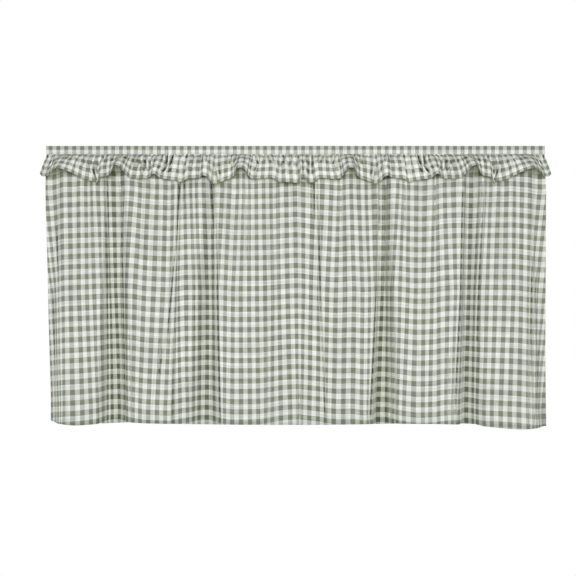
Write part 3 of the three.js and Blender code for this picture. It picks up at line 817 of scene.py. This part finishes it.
def thread_material(name, settings):
    """Sewing thread: an even colour with a fine grain along and a soft sheen."""
    n = Nodes(name)
    place = n.add("ShaderNodeTexCoord").outputs["Object"]
    grain = n.add("ShaderNodeTexNoise", {0: place, "Scale": 2600.0, "Detail": 1.0}).outputs[0]
    thread = (*settings.thread, 1.0)
    pale = (*settings.white_yarn, 1.0)
    bump = n.add("ShaderNodeBump", {"Strength": 0.4, "Distance": 0.0001, "Height": grain}).outputs[0]
    surface = n.add(
        "ShaderNodeBsdfPrincipled",
        {
            "Base Color": n.blend(n.math("MULTIPLY", grain, 0.3), thread, pale),
            "Roughness": n.math("MULTIPLY_ADD", grain, 0.2, 0.55),
            "Sheen Weight": 0.1,
            "Normal": bump,
        },
    )
    n.add("ShaderNodeOutputMaterial", {0: surface.outputs[0]})
    return n.material


def dress(piece, node, material):
    """Puts a finished piece in place of its solid."""
    piece.data.materials.append(material)
    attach(piece, "root")
    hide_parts(node)


def sew(name, lines, settings):
    """Sews lines of running stitches onto a cloth."""
    lift = settings.thickness / 2 + 0.3 * settings.thread_radius
    piece = stitch_mesh(name, lines, settings.stitch, settings.thread_radius, lift)
    piece.data.materials.append(thread_material(name, settings))
    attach(piece, "root")
    return piece


class CURTAIN_OT_heading(bpy.types.Operator):
    """Make the heading band"""

    bl_idname = "curtain.heading"
    bl_label = "Heading"

    def execute(self, context):
        cut = context.scene.curtain_cut
        cloth = context.scene.curtain_cloth
        points, coordinates, painted_shade = heading_surface(cut, 800, 40, cloth.thickness)
        piece = grid_mesh("heading_band", points, coordinates, painted_shade)
        thicken(piece, cloth.thickness)
        material = gingham_material(
            "heading_gingham", cloth, cloth.trim_check_across, cloth.trim_check_down, 0.0, cloth.heading_row
        )
        dress(piece, "heading", material)
        normals = outward(points)
        sewn = sew("heading_stitches", [(points[row], normals[row]) for row in (2, -3)], cloth)
        return {"FINISHED"}


class CURTAIN_OT_ruffle(bpy.types.Operator):
    """Make the gathered ruffle"""

    bl_idname = "curtain.ruffle"
    bl_label = "Ruffle"

    def execute(self, context):
        cut = context.scene.curtain_cut
        cloth = context.scene.curtain_cloth
        points, coordinates, painted_shade, flat_width = ruffle_surface(cut, 1450, 30)
        piece = grid_mesh("ruffle_strip", points, coordinates, painted_shade)
        thicken(piece, cloth.thickness)
        # The ruffle's gingham is painted lighter than the panel's by its painted light
        material = gingham_material(
            "ruffle_gingham", cloth, cloth.trim_check_across, cloth.trim_check_down, 0.0, cloth.ruffle_row,
            lift=cloth.ruffle_painted_light,
        )
        dress(piece, "ruffle", material)
        sewn = sew("ruffle_stitches", [(points[-2], outward(points)[-2])], cloth)
        return {"FINISHED"}


class CURTAIN_OT_panel(bpy.types.Operator):
    """Make the folded panel"""

    bl_idname = "curtain.panel"
    bl_label = "Panel"

    def execute(self, context):
        cut = context.scene.curtain_cut
        cloth = context.scene.curtain_cloth
        points, coordinates, painted_shade, hem_shadow_mask, flat_width = panel_surface(cut, 940, 40)
        piece = grid_mesh("panel_cloth", points, coordinates, painted_shade, hem_shadow_mask)
        thicken(piece, cloth.thickness)
        check = (cloth.panel_check_across, cloth.panel_check_down, cloth.check_shift, cloth.first_row)
        dress(piece, "panel", gingham_material("panel_gingham", cloth, *check))
        # The back is the same gingham without the painted shade and shadow
        piece.data.materials.append(gingham_material("panel_gingham_back", cloth, *check, front=False))
        piece.modifiers["thickness"].material_offset = 1
        normals = outward(points)
        lines = [(points[-2], normals[-2])] + [(points[10:, side], normals[10:, side]) for side in (7, -8)]
        sewn = sew("panel_stitches", lines, cloth)
        return {"FINISHED"}


class CURTAIN_OT_stage(bpy.types.Operator):
    """Set the floor, the light and the camera"""

    bl_idname = "curtain.stage"
    bl_label = "Stage"

    def execute(self, context):
        scene = context.scene
        studio = scene.curtain_studio
        self.floor(studio)
        self.light(scene, studio)
        self.camera(scene, studio)
        scene.view_settings.view_transform = "Standard"
        return {"FINISHED"}

    def floor(self, studio):
        x = np.linspace(-2.2, 2.2, 3)
        y = np.linspace(-1.4, 0.9, 3)
        across, deep = np.meshgrid(x, y)
        points = np.stack([across, deep, np.full_like(across, -studio.floor_drop)], axis=-1)[::-1]
        floor = grid_mesh("studio_floor", points, points[..., :2])
        n = Nodes("studio_floor")
        coordinates = n.add("ShaderNodeTexCoord").outputs["Object"]
        grain = n.add("ShaderNodeTexNoise", {0: coordinates, "Scale": 6.0}).outputs[0]
        pale = (*studio.floor_colour, 1.0)
        tint = n.blend(n.math("MULTIPLY", grain, 0.04), pale, (0.7, 0.7, 0.7, 1.0))
        surface = n.add("ShaderNodeBsdfPrincipled", {"Base Color": tint, "Roughness": 0.8})
        n.add("ShaderNodeOutputMaterial", {0: surface.outputs[0]})
        floor.data.materials.append(n.material)

    def light(self, scene, studio):
        world = bpy.data.worlds.new("studio_room")
        world.use_nodes = True
        tree = world.node_tree
        tree.nodes.clear()
        seen = tree.nodes.new("ShaderNodeLightPath")
        strength = tree.nodes.new("ShaderNodeMapRange")
        strength.inputs[3].default_value = studio.room_light
        strength.inputs[4].default_value = 1.0
        room = tree.nodes.new("ShaderNodeBackground")
        output = tree.nodes.new("ShaderNodeOutputWorld")
        tree.links.new(seen.outputs["Is Camera Ray"], strength.inputs[0])
        tree.links.new(strength.outputs[0], room.inputs["Strength"])
        tree.links.new(room.outputs[0], output.inputs[0])
        room.inputs["Color"].default_value = (1.0, 1.0, 1.0, 1.0)
        scene.world = world
        self.softbox(scene, "key_light", studio.key_power, (0.0, -2.6, -0.18), (90.0, 0.0, 0.0), 0.6)
        self.softbox(scene, "back_light", studio.back_power, (0.0, 2.6, -0.2), (86.0, 0.0, 180.0))
        self.softbox(scene, "left_light", studio.side_power, (-2.3, -1.5, -0.1), (87.0, 0.0, -57.0))
        self.softbox(scene, "right_light", studio.side_power, (2.3, -1.5, -0.1), (87.0, 0.0, 57.0))

    def softbox(self, scene, name, power, place, turn, side=1.4):
        light = bpy.data.lights.new(name, "AREA")
        light.shape = "RECTANGLE"
        light.size = side
        light.size_y = side
        light.energy = power
        lamp = bpy.data.objects.new(name, light)
        lamp.location = place
        lamp.rotation_euler = [math.radians(angle) for angle in turn]
        scene.collection.objects.link(lamp)

    def camera(self, scene, studio):
        lens = bpy.data.cameras.new("photo_camera")
        lens.lens = studio.lens
        lens.sensor_width = 36.0
        camera = bpy.data.objects.new("photo_camera", lens)
        camera.location = (studio.camera_across, -studio.camera_distance, studio.camera_height)
        camera.rotation_euler = (math.radians(90.0), 0.0, 0.0)
        scene.collection.objects.link(camera)
        scene.camera = camera


class CURTAIN_PT_sidebar(bpy.types.Panel):
    """Lists the curtain's sizes and pieces"""

    bl_idname = "CURTAIN_PT_sidebar"
    bl_label = "Cafe curtain"
    bl_space_type = "VIEW_3D"
    bl_region_type = "UI"
    bl_category = "Curtain"

    def draw(self, context):
        scene = context.scene
        for settings in (scene.curtain_cloth, scene.curtain_cut, scene.curtain_studio):
            box = self.layout.box()
            for name in settings.__annotations__:
                box.prop(settings, name)
        for operator in OPERATORS:
            self.layout.operator(operator.bl_idname)


SETTINGS = {"curtain_cloth": GinghamCloth, "curtain_cut": CurtainCut, "curtain_studio": StudioLook}
OPERATORS = (CURTAIN_OT_heading, CURTAIN_OT_ruffle, CURTAIN_OT_panel, CURTAIN_OT_stage)
CLASSES = (*SETTINGS.values(), *OPERATORS, CURTAIN_PT_sidebar)


def register():
    for kind in CLASSES:
        bpy.utils.register_class(kind)
    for name, kind in SETTINGS.items():
        setattr(bpy.types.Scene, name, bpy.props.PointerProperty(type=kind))


def unregister():
    for name in SETTINGS:
        delattr(bpy.types.Scene, name)
    for kind in reversed(CLASSES):
        bpy.utils.unregister_class(kind)


def main():
    register()
    bpy.ops.curtain.heading()
    bpy.ops.curtain.ruffle()
    bpy.ops.curtain.panel()
    bpy.ops.curtain.stage()
    bpy.context.view_layer.update()


if __name__ == "__main__":
    main()
